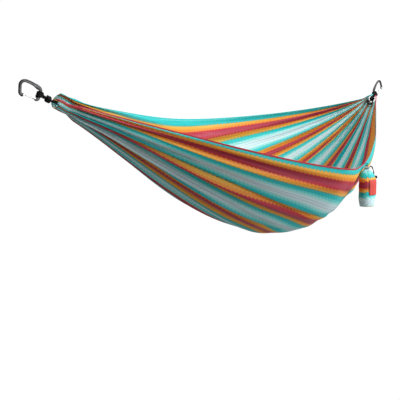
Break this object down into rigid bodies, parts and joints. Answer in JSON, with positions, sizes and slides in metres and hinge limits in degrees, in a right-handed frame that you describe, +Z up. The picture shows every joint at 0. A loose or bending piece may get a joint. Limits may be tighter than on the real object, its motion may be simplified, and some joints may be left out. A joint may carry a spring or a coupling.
{
  "type": "camping hammock",
  "caption": "Gathered-end camping hammock of striped cloth, hung from two wire-gate carabiners on rope loops, with its drawcord stuff sack on the near hem.",
  "frame": {"origin": "where an anchor strap bears on the inside of the left carabiner's big end, on the middle of the bar", "axes": "+Z up; +X level, from the left-hand end towards the right-hand end; the near side of the bed, with the stuff sack, faces -Y"},
  "size_m": [2.8311, 1.2519, 0.8925],
  "materials": {
    "printed_cloth": "woven nylon printed in wavy lengthwise stripes",
    "sack_cloth": "the bed's printed nylon",
    "sack_base_cloth": "the bed's printed nylon",
    "label_cloth": "plain red patch, sewn round its edge",
    "black_rope": "braided rope",
    "whipping_cord": "waxed thin cord",
    "black_cord": "braided cord",
    "black_alloy": "satin black anodising",
    "steel_wire": "bright drawn wire",
    "spring_steel": "drawn wire",
    "black_plastic": "moulded"
  },
  "bodies": {
    "hammock": {"bed_cloth": "printed_cloth", "left_rope_loop": "black_rope", "left_rope_knot": "black_rope", "left_rope_whipping": "whipping_cord", "right_rope_loop": "black_rope", "right_rope_knot": "black_rope", "right_rope_whipping": "whipping_cord", "hem_tab": "black_cord"},
    "left_carabiner": {"left_carabiner_frame": "black_alloy"},
    "left_gate": {"left_gate_wire": "steel_wire"},
    "right_carabiner": {"right_carabiner_frame": "black_alloy"},
    "right_gate": {"right_gate_wire": "steel_wire"},
    "sack": {"sack_body": "sack_cloth", "sack_base": "sack_base_cloth", "sack_label": "label_cloth", "sack_hanger": "black_cord", "drawcord_back": "black_cord", "drawcord_front": "black_cord", "drawcord_knot": "black_cord"},
    "cord_lock": {"cord_lock_barrel": "black_plastic", "cord_lock_spring": "spring_steel"},
    "lock_button": {"cord_lock_button": "black_plastic"}
  },
  "joints": [
    {"name": "left_carabiner_turn", "type": "hinge", "parent": "hammock", "child": "left_carabiner", "pos_m": [0.08603, 0, -0.0383], "axis": [0.4067, 0, 0.9135], "range_deg": [-50, 50]},
    {"name": "left_gate_open", "type": "hinge", "parent": "left_carabiner", "child": "left_gate", "pos_m": [0.06718, 0, -0.05728], "axis": [0, 1, 0], "range_deg": [0, 24], "stiffness_Nm_per_rad": 0.3, "springref_deg": -14.32},
    {"name": "right_carabiner_turn", "type": "hinge", "parent": "hammock", "child": "right_carabiner", "pos_m": [2.72654, 0, -0.03007], "axis": [-0.7431, 0, 0.6691], "range_deg": [-50, 50]},
    {"name": "right_gate_open", "type": "hinge", "parent": "right_carabiner", "child": "right_gate", "pos_m": [2.75148, 0, -0.03974], "axis": [0, -1, 0], "range_deg": [0, 24], "stiffness_Nm_per_rad": 0.3, "springref_deg": -14.32},
    {"name": "sack_swing", "type": "hinge", "parent": "hammock", "child": "sack", "pos_m": [1.806, -0.5288, -0.4176], "axis": [-1, 0, 0], "range_deg": [0, 75]},
    {"name": "cord_lock_slide", "type": "slide", "parent": "sack", "child": "cord_lock", "axis": [0, 0, -1], "range_m": [0, 0.025]},
    {"name": "lock_button_press", "type": "slide", "parent": "cord_lock", "child": "lock_button", "axis": [0, 1, 0], "range_m": [0, 0.004], "stiffness_N_per_m": 300, "springref_m": -0.004, "deforming": ["cord_lock_spring"]}
  ]
}
